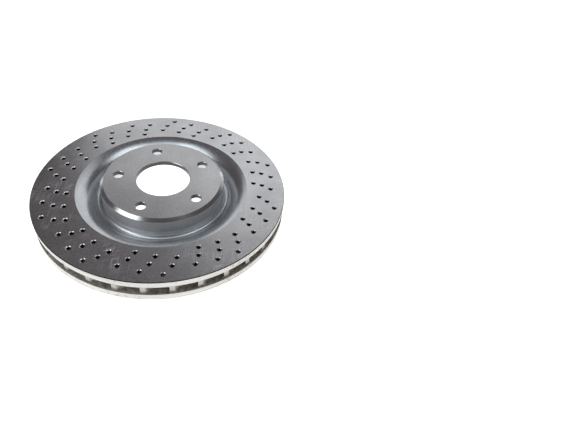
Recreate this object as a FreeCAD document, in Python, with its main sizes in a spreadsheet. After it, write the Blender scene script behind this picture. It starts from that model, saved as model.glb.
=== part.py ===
import FreeCAD, Part
import math
import os

import Sketcher
from FreeCAD import Vector

# Ventilated, cross-drilled front brake disc: one iron casting, machined all over
# its outboard side. Millimetres, degrees.
#
# Frame: +Z is the disc's axis and points outboard, towards the wheel. The origin is
# on that axis, in the plane of the hat's inner face, which seats on the wheel hub.
# One stud hole lies on +Y.

# Driving dimensions: alias, value, meaning
DIMENSIONS = [
    ("disc_rad", 160.0, "outer radius of both friction plates"),
    ("disc_thick", 30.0, "over both friction faces"),
    ("plate_thick", 8.5, "each friction plate"),
    ("rim_chamfer", 0.8, "at the outer edge of each friction face"),
    ("face_inner_rad", 109.0, "inner edge of the outboard friction face"),
    ("inboard_inner_rad", 100.0, "inner edge of the inboard plate"),
    ("inboard_chamfer", 1.5, "at that edge"),
    ("hat_step", 12.0, "hat's outer face above the outboard friction face"),
    ("hat_plate", 5.5, "thickness of the hat's flange"),
    ("hat_rad", 78.0, "outside of the hat's wall"),
    ("hat_inner_rad", 71.0, "inside of the hat's wall"),
    ("hat_inner_fillet", 4.0, "inside the hat, wall to flange"),
    ("hat_edge_out", 4.0, "radial width of the hat's edge chamfer"),
    ("hat_edge_down", 3.5, "height of the hat's edge chamfer"),
    ("bore_rad", 34.0, "hub bore"),
    ("bore_chamfer", 0.5, "at the bore's outer edge"),
    ("gutter_depth", 16.2, "lowest point of the gutter below the friction face"),
    ("gutter_fillet", 4.5, "root of the gutter, against the hat's wall"),
    ("gutter_slope", 52.0, "steepest slope of the gutter's outer side"),
    ("neck_drop", 22.0, "underside of the neck below the friction face"),
    ("neck_corner", 5.0, "rounding of the neck's inner corner"),
    ("neck_outer_rad", 88.0, "where the neck's underside turns up"),
    ("neck_arc_rad", 30.0, "curve of that underside, up to the plate"),
    ("neck_end_rad", 103.0, "where it runs into the plate's flat underside"),
    ("vane_inner_rad", 106.0, "inner ends of the vanes"),
    ("vane_outer_rad", 157.0, "outer ends of the vanes, short of the rim"),
    ("vane_count", 31, "curved vanes, and as many rows of drilled holes"),
    ("vane_thick", 3.8, "each vane"),
    ("vane_curve_rad", 59.9, "curve of a vane's middle line"),
    ("vane_curve_out", 116.8, "centre of that curve from the disc's axis"),
    ("vane_curve_turn", 60.0, "its direction from +X"),
    ("vane_root_fillet", 1.8, "where a vane meets the plates"),
    ("stud_circle", 114.3, "diameter of the stud holes' pitch circle"),
    ("stud_count", 5, "stud holes"),
    ("stud_hole", 13.0, "diameter of a stud hole"),
    ("stud_sink", 14.0, "diameter of its deburred edge"),
    ("stud_sink_angle", 90.0, "full angle of that edge"),
    ("drill_hole", 5.0, "diameter of a drilled hole"),
    ("drill_sink", 6.8, "diameter of its countersink"),
    ("drill_sink_angle", 118.0, "full angle of the countersink"),
    ("drill_outer_rad", 149.0, "outermost pitch circle of the drilled holes"),
    ("drill_step", 3.78, "from one of the nine pitch circles to the next"),
    ("drill_turn", 75.5, "direction of the first row's end on the outermost circle"),
    ("drill_lean", 0.42, "turn of a row per millimetre inwards, at its outer end"),
    ("drill_bend", 0.0051, "loss of that turn per square millimetre"),
]

HOLES_IN_ROW = 3
ROW_KINDS = 3
# The rows go round clockwise as kinds 0, 1, 2, 0, 1, 2 and so on. The number of rows
# isn't a multiple of three, so the last ones close the ring out of turn.
CLOSING_KINDS = [2, 1, 2]

TOLERANCE = 0.001

document = FreeCAD.newDocument("BrakeDisc")
dims = document.addObject("Spreadsheet::Sheet", "dims")
for line, (alias, number, meaning) in enumerate(DIMENSIONS, start=1):
    dims.set(f"A{line}", meaning)
    dims.set(f"B{line}", str(number))
    dims.setAlias(f"B{line}", alias)
document.recompute()


def value(expression):
    """The number that an expression over the dimension sheet stands for."""
    result = dims.evalExpression(expression)
    return float(getattr(result, "Value", result))


def origin_plane(body, role):
    """One of a body's own origin planes."""
    return next(item for item in body.Origin.OriginFeatures if item.Role == role)


def new_sketch(body, name, role, height="0"):
    """A sketch on an origin plane of the body, raised along Z by an expression."""
    sketch = body.newObject("Sketcher::SketchObject", name)
    sketch.AttachmentSupport = (origin_plane(body, role), "")
    sketch.MapMode = "FlatFace"
    sketch.setExpression("AttachmentOffset.Base.z", height)
    document.recompute()
    return sketch


def bind(sketch, kind, geometry, expression):
    """A dimension of the sketch, driven by the sheet."""
    index = sketch.addConstraint(Sketcher.Constraint(kind, *geometry, value(expression)))
    sketch.setExpression(f"Constraints[{index}]", expression)


def pin_point(sketch, geometry, across, up):
    """Bind both coordinates of a sketch point, given as (geometry, vertex)."""
    root = (-1, 1)
    bind(sketch, "DistanceX", root + geometry, across)
    bind(sketch, "DistanceY", root + geometry, up)


def bulged_arc(start, end, radius, side):
    """Arc between two points. side is +1 if it bulges to the left of start to end."""
    chord = end - start
    middle = (start + end) / 2
    left = Vector(-chord.y, chord.x, 0).normalize()
    to_centre = math.sqrt(radius ** 2 - (chord.Length / 2) ** 2)
    return Part.Arc(start, middle + left * side * (radius - to_centre), end)


def draw_outline(sketch, corners):
    """Closed outline through corners (across, up, bulge), each an expression.

    bulge is None for a straight run to the next corner, or (radius, side) for an arc.
    """
    points = [Vector(value(across), value(up), 0) for across, up, _ in corners]
    joints = []
    for index, (_, _, bulge) in enumerate(corners):
        start, end = points[index], points[(index + 1) % len(points)]
        if bulge is None:
            joints.append((sketch.addGeometry(Part.LineSegment(start, end)), 1, 2))
            continue
        radius, side = bulge
        arc = sketch.addGeometry(bulged_arc(start, end, value(radius), side))
        # an arc always runs counter-clockwise, so one that bulges left is turned round
        joints.append((arc, 2, 1) if side > 0 else (arc, 1, 2))
    for index, (geometry, first, last) in enumerate(joints):
        following, its_first, _ = joints[(index + 1) % len(joints)]
        sketch.addConstraint(
            Sketcher.Constraint("Coincident", geometry, last, following, its_first))
    for (across, up, bulge), (geometry, first, _) in zip(corners, joints):
        pin_point(sketch, (geometry, first), across, up)
        if bulge is not None:
            bind(sketch, "Radius", (geometry,), bulge[0])


def add_casting_section(body):
    """The whole disc turned from one half section, its vent passages still solid."""
    face = "dims.hat_plate - dims.hat_step"
    back = f"{face} - dims.disc_thick"
    plate_under = f"{face} - dims.plate_thick"
    plate_over = f"{back} + dims.plate_thick"
    gutter = f"{face} - dims.gutter_depth"
    neck = f"{face} - dims.neck_drop"
    root_out = "dims.hat_rad + dims.gutter_fillet * (1 + sin(dims.gutter_slope * 1 deg))"
    root_up = f"{gutter} + dims.gutter_fillet * (1 - cos(dims.gutter_slope * 1 deg))"
    # the gutter's side is an arc that leaves the root at gutter_slope
    run = f"(dims.face_inner_rad - ({root_out}))"
    rise = f"({face} - ({root_up}))"
    side_arc = (f"({run} ^ 2 + {rise} ^ 2) / (2 * ({run} * sin(dims.gutter_slope * 1 deg)"
                f" - {rise} * cos(dims.gutter_slope * 1 deg)))")
    corners = [
        ("dims.bore_rad + dims.bore_chamfer", "dims.hat_plate", None),
        ("dims.hat_rad - dims.hat_edge_out", "dims.hat_plate", None),
        ("dims.hat_rad", "dims.hat_plate - dims.hat_edge_down", None),
        ("dims.hat_rad", f"{gutter} + dims.gutter_fillet", ("dims.gutter_fillet", -1)),
        (root_out, root_up, (side_arc, 1)),
        ("dims.face_inner_rad", face, None),
        ("dims.disc_rad - dims.rim_chamfer", face, None),
        ("dims.disc_rad", f"{face} - dims.rim_chamfer", None),
        ("dims.disc_rad", plate_under, None),
        ("dims.vane_outer_rad", plate_under, None),
        ("dims.vane_outer_rad", plate_over, None),
        ("dims.disc_rad", plate_over, None),
        ("dims.disc_rad", f"{back} + dims.rim_chamfer", None),
        ("dims.disc_rad - dims.rim_chamfer", back, None),
        ("dims.inboard_inner_rad + dims.inboard_chamfer", back, None),
        ("dims.inboard_inner_rad", f"{back} + dims.inboard_chamfer", None),
        ("dims.inboard_inner_rad", plate_over, None),
        ("dims.vane_inner_rad", plate_over, None),
        ("dims.vane_inner_rad", plate_under, None),
        ("dims.neck_end_rad", plate_under, ("dims.neck_arc_rad", -1)),
        ("dims.neck_outer_rad", neck, None),
        ("dims.hat_inner_rad + dims.neck_corner", neck, ("dims.neck_corner", 1)),
        ("dims.hat_inner_rad", f"{neck} + dims.neck_corner", None),
        ("dims.hat_inner_rad", "-dims.hat_inner_fillet", ("dims.hat_inner_fillet", -1)),
        ("dims.hat_inner_rad - dims.hat_inner_fillet", "0", None),
        ("dims.bore_rad", "0", None),
        ("dims.bore_rad", "dims.hat_plate - dims.bore_chamfer", None),
    ]
    sketch = new_sketch(body, "half_section", "XZ_Plane")
    draw_outline(sketch, corners)
    document.recompute()
    turned = body.newObject("PartDesign::Revolution", "turned_casting")
    turned.Profile = sketch
    turned.ReferenceAxis = (sketch, ["V_Axis"])
    turned.Angle = 360
    document.recompute()


def on_circle(centre, radius, distance, near):
    """Point of a circle at a distance from the disc's axis, the one nearest to near."""
    reach = centre.Length
    along = (reach ** 2 + distance ** 2 - radius ** 2) / (2 * reach)
    across = math.sqrt(distance ** 2 - along ** 2)
    out = Vector(centre).normalize()
    aside = Vector(-out.y, out.x, 0)
    choices = [out * along + aside * across, out * along - aside * across]
    return min(choices, key=lambda point: point.distanceToPoint(near))


def draw_passage(sketch):
    """Outline of one vent passage, between the flanks of two neighbouring vanes."""
    # the passage runs past both ends of the vanes, into free space
    ends = ("dims.vane_inner_rad - 2", "dims.disc_rad + 2")
    rings = []
    for end in ends:
        circle = Part.Circle(Vector(), Vector(0, 0, 1), value(end))
        rings.append(sketch.addGeometry(circle, True))
        sketch.addConstraint(Sketcher.Constraint("Coincident", rings[-1], 3, -1, 1))
        bind(sketch, "Radius", (rings[-1],), end)

    flanks = []
    pitch = "360 / dims.vane_count"
    for turn, half_thick in (("0", "+ dims.vane_thick / 2"), (pitch, "- dims.vane_thick / 2")):
        direction = f"((dims.vane_curve_turn + {turn}) * 1 deg)"
        centre_x = f"dims.vane_curve_out * cos{direction}"
        centre_y = f"dims.vane_curve_out * sin{direction}"
        radius = f"dims.vane_curve_rad {half_thick}"
        centre = Vector(value(centre_x), value(centre_y), 0)
        onward = centre + Vector(-centre.y, centre.x, 0)
        inner, outer = (on_circle(centre, value(radius), value(end), onward) for end in ends)
        outer_angle, inner_angle = (math.atan2(point.y - centre.y, point.x - centre.x)
                                    for point in (outer, inner))
        circle = Part.Circle(centre, Vector(0, 0, 1), value(radius))
        flank = sketch.addGeometry(Part.ArcOfCircle(circle, outer_angle, inner_angle))
        flanks.append(flank)
        pin_point(sketch, (flank, 3), centre_x, centre_y)
        bind(sketch, "Radius", (flank,), radius)
        sketch.addConstraint(Sketcher.Constraint("PointOnObject", flank, 1, rings[1]))
        sketch.addConstraint(Sketcher.Constraint("PointOnObject", flank, 2, rings[0]))
    for vertex in (1, 2):
        first, second = (sketch.getPoint(flank, vertex) for flank in flanks)
        closing = sketch.addGeometry(Part.LineSegment(first, second))
        sketch.addConstraint(Sketcher.Constraint("Coincident", closing, 1, flanks[0], vertex))
        sketch.addConstraint(Sketcher.Constraint("Coincident", closing, 2, flanks[1], vertex))


def make_vent_cores():
    """The ring of sand cores that leaves the vent passages in the casting."""
    cores = document.addObject("PartDesign::Body", "vent_cores")
    floor = "dims.hat_plate - dims.hat_step - dims.disc_thick + dims.plate_thick"
    sketch = new_sketch(cores, "passage_outline", "XY_Plane", floor)
    draw_passage(sketch)
    document.recompute()
    core = cores.newObject("PartDesign::Pad", "core")
    core.Profile = sketch
    core.setExpression("Length", "dims.disc_thick - 2 * dims.plate_thick")
    document.recompute()

    long_edges = [f"Edge{number}" for number, edge in enumerate(core.Shape.Edges, start=1)
                  if isinstance(edge.Curve, Part.Circle)]
    rounded = cores.newObject("PartDesign::Fillet", "rounded_core")
    rounded.Base = (core, long_edges)
    rounded.setExpression("Radius", "dims.vane_root_fillet")
    document.recompute()

    ring = cores.newObject("PartDesign::PolarPattern", "core_ring")
    ring.TransformMode = "Whole shape"
    ring.Axis = (sketch, ["N_Axis"])
    ring.Angle = 360
    ring.setExpression("Occurrences", "dims.vane_count")
    cores.Tip = ring
    document.recompute()
    return cores


def cut_vents(body, cores):
    """Open the vent passages between the two friction plates."""
    vents = body.newObject("PartDesign::Boolean", "vents")
    vents.Type = "Cut"
    vents.setObjects([cores])
    document.recompute()


def drilling_angle(row, depth):
    """Direction of a drilled hole in a row, by its distance in from the outermost circle."""
    return (f"(dims.drill_turn - 360 / dims.vane_count * {row} + dims.drill_lean * ({depth})"
            f" - dims.drill_bend * ({depth}) ^ 2) * 1 deg")


def draw_drilling(sketch, diameter):
    """All the drilled holes: three in each row, on every third pitch circle."""
    rows = int(value("dims.vane_count"))
    kinds = [row % ROW_KINDS for row in range(rows - len(CLOSING_KINDS))] + CLOSING_KINDS
    for row, kind in enumerate(kinds):
        for place in range(HOLES_IN_ROW):
            depth = f"dims.drill_step * {kind + ROW_KINDS * place}"
            angle = drilling_angle(row, depth)
            across = f"(dims.drill_outer_rad - {depth}) * cos({angle})"
            up = f"(dims.drill_outer_rad - {depth}) * sin({angle})"
            centre = Vector(value(across), value(up), 0)
            hole = sketch.addGeometry(Part.Circle(centre, Vector(0, 0, 1), value(diameter) / 2))
            pin_point(sketch, (hole, 3), across, up)
            bind(sketch, "Diameter", (hole,), diameter)


def drill(body, sketch, name, size):
    """Holes right through the disc from above, countersunk where they start.

    size is the stem of three aliases: the hole, its sink and the sink's angle.
    """
    hole = body.newObject("PartDesign::Hole", name)
    hole.Profile = sketch
    document.recompute()
    hole.DepthType = "ThroughAll"
    hole.setExpression("Diameter", f"dims.{size}_hole")
    hole.HoleCutType = "Countersink"
    hole.HoleCutCustomValues = True
    hole.setExpression("HoleCutDiameter", f"dims.{size}_sink")
    hole.setExpression("HoleCutCountersinkAngle", f"dims.{size}_sink_angle")
    document.recompute()
    return hole


def add_drilled_holes(body):
    """Cross drilling through both plates, countersunk on both friction faces."""
    face = "dims.hat_plate - dims.hat_step"
    sketch = new_sketch(body, "drilling", "XY_Plane", face)
    draw_drilling(sketch, "dims.drill_hole")
    document.recompute()
    holes = drill(body, sketch, "drilled_holes", "drill")

    back = value(f"{face} - dims.disc_thick")
    mouths = []
    for number, edge in enumerate(holes.Shape.Edges, start=1):
        curve = edge.Curve
        if isinstance(curve, Part.Circle) and abs(curve.Center.z - back) < TOLERANCE:
            if abs(curve.Radius - value("dims.drill_hole / 2")) < TOLERANCE:
                mouths.append(f"Edge{number}")
    sinks = body.newObject("PartDesign::Chamfer", "inboard_countersinks")
    sinks.Base = (holes, mouths)
    sinks.ChamferType = "Two distances"
    widening = "(dims.drill_sink - dims.drill_hole) / 2"
    sinks.setExpression("Size", widening)
    sinks.setExpression("Size2", f"{widening} / tan(dims.drill_sink_angle / 2 * 1 deg)")
    document.recompute()


def add_stud_holes(body):
    """Wheel stud holes through the hat's flange."""
    sketch = new_sketch(body, "stud_hole", "XY_Plane", "dims.hat_plate")
    centre = Vector(0, value("dims.stud_circle / 2"), 0)
    circle = Part.Circle(centre, Vector(0, 0, 1), value("dims.stud_hole / 2"))
    hole = sketch.addGeometry(circle)
    pin_point(sketch, (hole, 3), "0", "dims.stud_circle / 2")
    bind(sketch, "Diameter", (hole,), "dims.stud_hole")
    document.recompute()
    first = drill(body, sketch, "first_stud_hole", "stud")
    ring = body.newObject("PartDesign::PolarPattern", "stud_holes")
    ring.Originals = [first]
    ring.Axis = (sketch, ["N_Axis"])
    ring.Angle = 360
    ring.setExpression("Occurrences", "dims.stud_count")
    body.Tip = ring
    document.recompute()


def make_brake_disc():
    """The disc, from its bare casting to its last drilled hole."""
    body = document.addObject("PartDesign::Body", "brake_disc")
    body.Label = "brake_disc"
    add_casting_section(body)
    volumes = [body.Shape.Volume]
    cut_vents(body, make_vent_cores())
    volumes.append(body.Shape.Volume)
    add_stud_holes(body)
    volumes.append(body.Shape.Volume)
    add_drilled_holes(body)
    volumes.append(body.Shape.Volume)
    return body, volumes


def check(body, volumes):
    """Stop unless every object is sound and every cut took metal away."""
    for item in document.Objects:
        if "Invalid" in item.State or "Error" in item.State:
            raise RuntimeError(f"{item.Label} failed")
    if body.Shape.isNull() or not body.Shape.isValid() or len(body.Shape.Solids) != 1:
        raise RuntimeError(f"{body.Label} is not one sound solid")
    if any(after >= before for before, after in zip(volumes, volumes[1:])):
        raise RuntimeError(f"a cut in {body.Label} removed nothing: {volumes}")


brake_disc, stage_volumes = make_brake_disc()
check(brake_disc, stage_volumes)
os.makedirs("parts", exist_ok=True)
brake_disc.Shape.exportStep(f"parts/{brake_disc.Label}.step")
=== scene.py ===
import math

import bpy
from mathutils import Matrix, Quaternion, Vector


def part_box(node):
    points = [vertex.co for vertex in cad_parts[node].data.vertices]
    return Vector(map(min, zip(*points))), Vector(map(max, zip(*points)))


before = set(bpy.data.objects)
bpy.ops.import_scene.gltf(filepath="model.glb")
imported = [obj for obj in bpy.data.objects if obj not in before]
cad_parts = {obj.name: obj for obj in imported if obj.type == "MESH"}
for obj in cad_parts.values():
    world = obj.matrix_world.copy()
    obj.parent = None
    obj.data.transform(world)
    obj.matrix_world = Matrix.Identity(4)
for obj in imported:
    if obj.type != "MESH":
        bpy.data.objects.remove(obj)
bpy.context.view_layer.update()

# Where the disc's surfaces lie, in metres, as part.py has them
HAT_TOP, FRICTION_FACE, INBOARD_FACE = 0.0055, -0.0065, -0.0365
CHANNEL_TOP, CHANNEL_FLOOR = -0.015, -0.028
HAT_RADIUS, FACE_INNER_RADIUS, RIM_RADIUS = 0.078, 0.109, 0.160

# Where one finish ends and the next begins, in metres: heights and radii between those surfaces
STUD_HOLES_RADIUS = 0.066           # the bore and the stud holes are all inside it
NECK_RADIUS = 0.0725                # just outside the hat's inner wall
NECK_END_RADIUS = 0.106             # where the neck runs into the outboard plate
INBOARD_INNER_RADIUS = 0.0995       # just inside the vents' inner mouths
VANE_END_RADIUS = 0.156
RIM_BAND_RADIUS = 0.1585
ROOT_HEIGHT, ROOT_WIDTH = -0.0145, 0.006
HAT_EDGE_DEPTH, HAT_EDGE_WIDTH, RIM_EDGE_WIDTH = 0.004, 0.0042, 0.0009
EDGE = 0.0003

# Colours of the metal, and of painted shade and painted light on it
IRON_DARK, IRON_LIGHT, IRON_BLUE, SCRATCH_BRIGHTER = 0.55, 0.64, 1.01, 0.24
COATING_TINT = (0.98, 1.015, 1.035)
CAST_DARK, CAST_LIGHT = (0.22, 0.205, 0.18), (0.50, 0.485, 0.445)
RIM_DARK, RIM_LIGHT, RIM_PATCH = (0.56, 0.55, 0.52), (0.68, 0.67, 0.64), (0.33, 0.32, 0.28)
# painted light: the outward-facing ends of the cast vanes are lighter than the cast inside, as
# if lit from outside
LIT_VANE_END = (0.55, 0.54, 0.50)
# painted shade: near-black put on the walls of the holes and on the rim's edge chamfers, where
# they lie in shade
HOLE_AND_EDGE_SHADE = (0.06, 0.055, 0.055)

# The rim's streaks, along the rim and up its height
STREAKS_PER_RADIAN, STREAKS_PER_METRE = 1.5, 420.0

# Roughness of each finish, where 0 is a mirror
TURNED_ROUGH, GROUND_ROUGH, SCRATCH_ROUGHER = 0.25, 0.29, 0.12
ROOT_ROUGH, HAT_EDGE_ROUGH, RIM_ROUGH, CAST_ROUGH = 0.33, 0.2, 0.45, 0.65

# How metallic each finish is, and how deep its relief goes in metres
WALL_METAL, LEVEL_METAL, HAT_TOP_METAL, CAST_METAL = 0.48, 0.96, 0.68, 0.25
GROUND_RELIEF, TURNED_RELIEF, CAST_RELIEF = 0.0000012, 0.0000006, 0.00012

# The camera is placed from the middle of the friction face and looks at a point of that plane
CAMERA_AZIMUTH, CAMERA_ELEVATION, CAMERA_DISTANCE = -95.03, 40.895, 0.6238
CAMERA_AIM = (0.13984, -0.08383)
CAMERA_ROLL, CAMERA_LENS, CAMERA_CLIP = 9.14, 28.954, 0.01

# name, direction as azimuth and elevation, distance, width, height, brightness, colour
SOFTBOXES = [
    ("overhead", -90, 86, 1.5, 0.9, 0.5, 0.9, (0.88, 0.98, 1.05)),
    ("top_left", 180, 64, 1.5, 0.7, 0.8, 1.5, (0.92, 0.99, 1.03)),
    ("top_right", 0, 66, 1.5, 0.6, 0.6, 1.6, (0.92, 0.99, 1.03)),
    ("left", 192, 40, 1.5, 0.8, 0.7, 2.2, (1.0, 1.0, 1.0)),
    ("back_right", 74, 27, 1.6, 1.15, 0.85, 0.8, (0.97, 1.0, 1.02)),
    ("right_high", 60, 46, 1.6, 0.65, 0.4, 0.65, (0.97, 1.0, 1.02)),
    ("right_front", -50, 62, 1.5, 0.4, 0.5, 1.3, (1.0, 1.0, 1.0)),
    ("front", -105, 14, 1.6, 1.6, 0.5, 0.8, (1.0, 1.0, 0.98)),
]

# The world: a pale horizon up to a height, with one dark side, and a dim sky above it
HORIZON_LIGHT, HORIZON_BOTTOM, HORIZON_TOP = 0.7, 0.1, 0.3
DARK_SIDE, DARK_SIDE_HEIGHT, DARK_SIDE_FROM, DARK_SIDE_FULL = 140, 8, 0.72, 0.92
AMBIENT = (0.088, 0.074, 0.078)
BACKDROP = (1.0, 1.0, 1.0)

FLOOR_SIZE, FLOOR_COLOUR, FLOOR_ROUGH = 8, (0.8, 0.8, 0.8), 0.6
# the weaker glow under the friction plates is a painted shadow of the disc on the floor
FLOOR_GLOW, FLOOR_GLOW_IN_DISC_SHADOW, PLATES_INNER_RADIUS = 1.15, 0.3, 0.101


def direction(azimuth, elevation):
    """Unit vector towards an azimuth and elevation in degrees."""
    azimuth, elevation = math.radians(azimuth), math.radians(elevation)
    return Vector((math.cos(azimuth) * math.cos(elevation),
                   math.sin(azimuth) * math.cos(elevation), math.sin(elevation)))


class Shader:
    """A node tree under construction. Every method gives the socket of its result."""

    def __init__(self, tree):
        self.tree = tree
        tree.nodes.clear()

    def node(self, kind, inputs=(), **settings):
        """A node with its settings, and its inputs given as numbers or sockets."""
        made = self.tree.nodes.new(kind)
        for name, setting in settings.items():
            setattr(made, name, setting)
        for name, source in dict(inputs).items():
            if isinstance(source, bpy.types.NodeSocket):
                self.tree.links.new(source, made.inputs[name])
            else:
                made.inputs[name].default_value = source
        return made

    def math(self, operation, *terms):
        """One step of arithmetic."""
        return self.node("ShaderNodeMath", enumerate(terms), operation=operation).outputs[0]

    def total(self, *terms):
        """Sum of several terms."""
        result = terms[0]
        for term in terms[1:]:
            result = self.math("ADD", result, term)
        return result

    def product(self, *terms):
        """Product of several terms."""
        result = terms[0]
        for term in terms[1:]:
            result = self.math("MULTIPLY", result, term)
        return result

    def either(self, *masks):
        """1 where any of the masks is 1."""
        result = masks[0]
        for mask in masks[1:]:
            result = self.math("MAXIMUM", result, mask)
        return result

    def outside(self, mask):
        """1 where the mask is 0, and 0 where it is 1."""
        return self.math("SUBTRACT", 1.0, mask)

    def size(self, source):
        """A number without its sign."""
        return self.math("ABSOLUTE", source)

    def length(self, vector):
        """Length of a vector."""
        return self.node("ShaderNodeVectorMath", {0: vector},
                         operation="LENGTH").outputs["Value"]

    def dot(self, first, second):
        """Dot product of two vectors."""
        return self.node("ShaderNodeVectorMath", {0: first, 1: second},
                         operation="DOT_PRODUCT").outputs["Value"]

    def ramp(self, source, start, end, low=0.0, high=1.0):
        """Smooth rise from low to high as source goes from start to end."""
        inputs = {"Value": source, "From Min": start, "From Max": end,
                  "To Min": low, "To Max": high}
        return self.node("ShaderNodeMapRange", inputs,
                         interpolation_type="SMOOTHSTEP").outputs["Result"]

    def above(self, source, limit, blur=EDGE):
        """1 where source is over the limit, 0 where it is under, smooth over the blur."""
        return self.ramp(source, limit - blur / 2, limit + blur / 2)

    def within(self, source, low, high, blur=EDGE):
        """1 where source is between low and high."""
        return self.math("SUBTRACT", self.above(source, low, blur),
                         self.above(source, high, blur))

    def mix(self, factor, first, second):
        """First where the factor is 0, second where it is 1: two numbers or two colours."""
        colour = any(isinstance(item, tuple) or getattr(item, "type", "") in ("RGBA", "VECTOR")
                     for item in (first, second))
        made = self.node("ShaderNodeMix", data_type="RGBA" if colour else "FLOAT")
        wanted = "RGBA" if colour else "VALUE"
        sockets = [item for item in made.inputs if item.type == wanted]
        if not colour:
            sockets = sockets[1:]
        for socket, source in zip([made.inputs[0]] + sockets, (factor, first, second)):
            if isinstance(source, bpy.types.NodeSocket):
                self.tree.links.new(source, socket)
            else:
                socket.default_value = (*source, 1.0) if isinstance(source, tuple) else source
        return next(item for item in made.outputs if item.type == wanted)

    def noise(self, vector, scale, detail, roughness):
        """Fractal noise, about 0.5 on average and mostly from 0.3 to 0.7."""
        return self.node("ShaderNodeTexNoise",
                         {"Vector": vector, "Scale": scale, "Detail": detail,
                          "Roughness": roughness}).outputs[0]

    def stretched(self, vector, across, along, up):
        """Coordinates scaled by an amount on each axis."""
        return self.node("ShaderNodeVectorMath", {0: vector, 1: (across, along, up)},
                         operation="MULTIPLY").outputs[0]

    def turned(self, vector, angle):
        """Coordinates turned round the axis by an angle in radians."""
        return self.node("ShaderNodeVectorRotate", {"Vector": vector, "Angle": angle},
                         rotation_type="Z_AXIS").outputs[0]

    def combine(self, across, along, up):
        """A vector from three numbers."""
        return self.node("ShaderNodeCombineXYZ", {0: across, 1: along, 2: up}).outputs[0]


def finish_masks(shader, place, radius, height):
    """Masks of where each finish is, and how far the surface faces up, under "normal_up"."""
    normal = shader.node("ShaderNodeNewGeometry").outputs["True Normal"]
    normal_up = shader.node("ShaderNodeSeparateXYZ", {0: normal}).outputs["Z"]
    outward = shader.node("ShaderNodeVectorMath", {0: shader.stretched(place, 1, 1, 0)},
                          operation="NORMALIZE").outputs[0]
    normal_out = shader.dot(normal, outward)
    flatness = shader.size(normal_up)       # 1 on level faces, 0.7 on chamfers, 0 on walls
    level = shader.above(flatness, 0.985, 0.02)
    slanted = shader.within(flatness, 0.5, 0.9, 0.05)
    upright = shader.outside(shader.above(flatness, 0.3, 0.1))

    outer = shader.above(radius, FACE_INNER_RADIUS)
    ends = shader.outside(shader.within(height, INBOARD_FACE + EDGE, FRICTION_FACE - EDGE))
    ground = shader.product(level, outer, ends)
    channel = shader.product(shader.within(height, CHANNEL_FLOOR - EDGE, CHANNEL_TOP + EDGE),
                             shader.above(radius, INBOARD_INNER_RADIUS))
    under_neck = shader.product(
        shader.outside(shader.above(normal_up, 0.1, 0.1)),
        shader.within(radius, NECK_RADIUS, NECK_END_RADIUS),
        shader.outside(shader.above(normal_out, 0.3, 0.1)),
        shader.outside(shader.above(height, -EDGE)))
    cast = shader.either(channel, under_neck)
    rim = shader.product(shader.above(radius, RIM_BAND_RADIUS),
                         shader.above(normal_out, 0.9, 0.05), shader.outside(channel))
    drilled = shader.either(outer, shader.outside(shader.above(radius, STUD_HOLES_RADIUS)))
    hole_wall = shader.product(upright, shader.outside(shader.either(rim, cast)), drilled)
    hat_top = shader.product(level, shader.above(height, HAT_TOP - EDGE))
    hat_edge = shader.product(
        slanted, shader.within(radius, HAT_RADIUS - HAT_EDGE_WIDTH, HAT_RADIUS + EDGE),
        shader.above(height, HAT_TOP - HAT_EDGE_DEPTH))
    rim_edge = shader.product(slanted, shader.above(radius, RIM_RADIUS - RIM_EDGE_WIDTH))
    root = shader.product(
        shader.within(radius, HAT_RADIUS - EDGE, HAT_RADIUS + ROOT_WIDTH, 0.002),
        shader.outside(shader.above(height, ROOT_HEIGHT, 0.004)))
    vane_end = shader.product(channel, shader.above(radius, VANE_END_RADIUS),
                              shader.above(normal_out, 0.8, 0.2))
    return {"ground": ground, "cast": cast, "rim": rim, "hole_wall": hole_wall,
            "hat_top": hat_top, "hat_edge": hat_edge, "rim_edge": rim_edge, "root": root,
            "vane_end": vane_end, "normal_up": normal_up}


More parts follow.
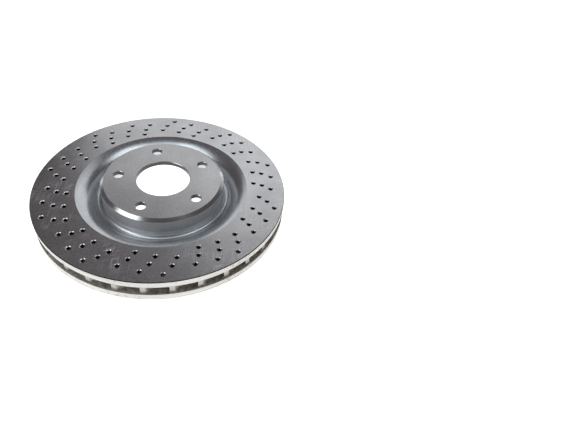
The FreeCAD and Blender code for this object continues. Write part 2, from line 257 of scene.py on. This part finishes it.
def machined_iron():
    """Ground friction faces, turned and coated hat and gutter, as-cast vents."""
    material = bpy.data.materials.new("machined_iron")
    material.use_nodes = True
    shader = Shader(material.node_tree)
    place = shader.node("ShaderNodeTexCoord").outputs["Object"]
    across, along, height = shader.node("ShaderNodeSeparateXYZ", {0: place}).outputs
    radius = shader.length(shader.stretched(place, 1, 1, 0))
    turn = shader.math("ARCTAN2", along, across)
    masks = finish_masks(shader, place, radius, height)
    ground, cast, rim, hat_top = (masks[name] for name in ("ground", "cast", "rim", "hat_top"))

    # detail: scales and stretches are in features per metre
    section = shader.combine(radius, height, 0.0)
    rings = shader.noise(section, 2600, 2, 0.6)
    wide_rings = shader.noise(section, 420, 2, 0.5)
    grain = shader.noise(place, 1900, 2, 0.6)
    smudge = shader.noise(place, 26, 4, 0.55)
    mottle = shader.noise(place, 240, 4, 0.65)
    pits = shader.noise(place, 800, 3, 0.6)
    round_rim = shader.combine(shader.product(turn, STREAKS_PER_RADIAN),
                               shader.product(height, STREAKS_PER_METRE), 0.0)
    streaks = shader.noise(round_rim, 1.0, 3, 0.6)
    handled = shader.noise(shader.stretched(place, 1, 1, 0.3), 17, 3, 0.5)
    scratch = shader.either(
        shader.noise(shader.stretched(shader.turned(place, 0.3), 900, 40, 1), 1.0, 2, 0.5),
        shader.noise(shader.stretched(shader.turned(place, 1.4), 800, 50, 1), 1.0, 2, 0.5))
    scratches = shader.product(shader.ramp(scratch, 0.57, 0.68),
                               shader.ramp(handled, 0.45, 0.58), ground)
    patches = shader.product(shader.ramp(mottle, 0.52, 0.66), shader.ramp(handled, 0.4, 0.6))

    tone = shader.total(shader.ramp(smudge, 0.3, 0.7, IRON_DARK, IRON_LIGHT),
                        shader.ramp(grain, 0.3, 0.7, -0.025, 0.025),
                        shader.product(scratches, SCRATCH_BRIGHTER))
    bare = shader.combine(tone, tone, shader.product(tone, IRON_BLUE))
    coated = shader.stretched(bare, *COATING_TINT)
    cast_tone = shader.mix(shader.ramp(mottle, 0.35, 0.65), CAST_DARK, CAST_LIGHT)
    rim_tone = shader.mix(shader.ramp(streaks, 0.35, 0.7), RIM_DARK, RIM_LIGHT)
    rim_tone = shader.mix(patches, rim_tone, RIM_PATCH)
    colour = shader.mix(shader.either(ground, hat_top), coated, bare)
    colour = shader.mix(rim, colour, rim_tone)
    colour = shader.mix(cast, colour, cast_tone)
    # painted shade: the walls of the holes and the rim's edge chamfers are made near-black
    colour = shader.mix(shader.either(masks["hole_wall"], masks["rim_edge"]), colour, HOLE_AND_EDGE_SHADE)
    # painted light: the outward-facing vane ends get a lighter cast colour
    colour = shader.mix(masks["vane_end"], colour, LIT_VANE_END)

    rough = shader.total(shader.mix(shader.either(ground, hat_top), TURNED_ROUGH, GROUND_ROUGH),
                         shader.ramp(grain, 0.3, 0.7, -0.03, 0.03),
                         shader.product(scratches, SCRATCH_ROUGHER))
    rough = shader.mix(masks["root"], rough, ROOT_ROUGH)
    rough = shader.mix(masks["hat_edge"], rough, HAT_EDGE_ROUGH)
    rough = shader.mix(rim, rough, RIM_ROUGH)
    rough = shader.mix(cast, rough, CAST_ROUGH)

    # the coating hides more of the metal on the walls than on what lies flat
    metal = shader.ramp(masks["normal_up"], 0.2, 0.7, WALL_METAL, LEVEL_METAL)
    metal = shader.mix(hat_top, metal, HAT_TOP_METAL)
    metal = shader.mix(ground, metal, 1.0)
    metal = shader.mix(cast, metal, CAST_METAL)

    relief = shader.total(
        shader.product(ground, shader.total(shader.product(rings, 0.3), grain), GROUND_RELIEF),
        shader.product(shader.outside(shader.either(ground, cast)),
                       shader.total(shader.product(rings, 0.4), wide_rings), TURNED_RELIEF),
        shader.product(cast, shader.total(pits, shader.product(mottle, 2.0)), CAST_RELIEF))
    bump = shader.node("ShaderNodeBump", {"Height": relief, "Distance": 1.0,
                                          "Strength": 1.0}).outputs["Normal"]
    surface = shader.node("ShaderNodeBsdfPrincipled",
                          {"Base Color": colour, "Roughness": rough, "Metallic": metal,
                           "Normal": bump}).outputs["BSDF"]
    shader.node("ShaderNodeOutputMaterial", {"Surface": surface})
    return material


def add_camera():
    """Camera at the photograph's viewing angle."""
    camera = bpy.data.cameras.new("camera")
    camera.lens = CAMERA_LENS
    camera.clip_start = CAMERA_CLIP
    item = bpy.data.objects.new("camera", camera)
    bpy.context.scene.collection.objects.link(item)
    face = Vector((0, 0, FRICTION_FACE))
    item.location = face + direction(CAMERA_AZIMUTH, CAMERA_ELEVATION) * CAMERA_DISTANCE
    look = (Vector((*CAMERA_AIM, face.z)) - item.location).to_track_quat("-Z", "Y")
    item.rotation_mode = "QUATERNION"
    item.rotation_quaternion = look @ Quaternion((0, 0, 1), math.radians(CAMERA_ROLL))
    bpy.context.scene.camera = item


def add_softbox(name, azimuth, elevation, distance, width, height, brightness, colour):
    """Rectangular light that faces the disc, of an even brightness."""
    light = bpy.data.lights.new(name, "AREA")
    light.shape = "RECTANGLE"
    light.size, light.size_y = width, height
    light.energy = brightness * math.pi * width * height
    light.color = colour
    item = bpy.data.objects.new(name, light)
    bpy.context.scene.collection.objects.link(item)
    item.location = direction(azimuth, elevation) * distance
    item.rotation_euler = (-item.location).to_track_quat("-Z", "Y").to_euler()
    item.visible_camera = False


def set_world():
    """A pale horizon under a dim sky for the metal, and a white backdrop for the camera."""
    world = bpy.data.worlds.new("studio")
    bpy.context.scene.world = world
    world.use_nodes = True
    shader = Shader(world.node_tree)
    place = shader.node("ShaderNodeTexCoord").outputs["Generated"]
    height = shader.node("ShaderNodeSeparateXYZ", {0: place}).outputs["Z"]
    away = shader.dot(place, direction(DARK_SIDE, DARK_SIDE_HEIGHT))
    dimming = shader.either(shader.ramp(height, HORIZON_BOTTOM, HORIZON_TOP),
                            shader.ramp(away, DARK_SIDE_FROM, DARK_SIDE_FULL))
    light = shader.mix(dimming, (HORIZON_LIGHT,) * 3, AMBIENT)
    dim = shader.node("ShaderNodeBackground", {"Color": light}).outputs[0]
    pale = shader.node("ShaderNodeBackground", {"Color": (*BACKDROP, 1)}).outputs[0]
    seen = shader.node("ShaderNodeLightPath").outputs["Is Camera Ray"]
    both = shader.node("ShaderNodeMixShader", {0: seen, 1: dim, 2: pale}).outputs[0]
    shader.node("ShaderNodeOutputWorld", {"Surface": both})


def add_floor(height):
    """White light table under the disc, with a weaker glow under the friction plates as a
    painted shadow of the disc.
    """
    bpy.ops.mesh.primitive_plane_add(size=FLOOR_SIZE, location=(0, 0, height))
    floor = bpy.context.object
    floor.name = "floor"
    material = bpy.data.materials.new("light_table")
    material.use_nodes = True
    shader = Shader(material.node_tree)
    place = shader.stretched(shader.node("ShaderNodeTexCoord").outputs["Object"], 1, 1, 0)
    # painted shadow: the glow is weaker under the friction plates
    glow = shader.mix(shader.within(shader.length(place), PLATES_INNER_RADIUS, RIM_RADIUS),
                      FLOOR_GLOW, FLOOR_GLOW_IN_DISC_SHADOW)
    surface = shader.node("ShaderNodeBsdfPrincipled",
                          {"Base Color": (*FLOOR_COLOUR, 1), "Roughness": FLOOR_ROUGH,
                           "Emission Color": (1, 1, 1, 1),
                           "Emission Strength": glow}).outputs["BSDF"]
    # seen from below, the table lets the disc's underside show
    below = shader.node("ShaderNodeNewGeometry").outputs["Backfacing"]
    clear = shader.node("ShaderNodeBsdfTransparent").outputs[0]
    both = shader.node("ShaderNodeMixShader", {0: below, 1: surface, 2: clear}).outputs[0]
    shader.node("ShaderNodeOutputMaterial", {"Surface": both})
    floor.data.materials.append(material)


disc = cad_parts["brake_disc"]
iron = machined_iron()
for slot in disc.material_slots:
    slot.material = iron

add_floor(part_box("brake_disc")[0][2])
add_camera()
set_world()
for softbox in SOFTBOXES:
    add_softbox(*softbox)
bpy.context.scene.view_settings.view_transform = "Standard"
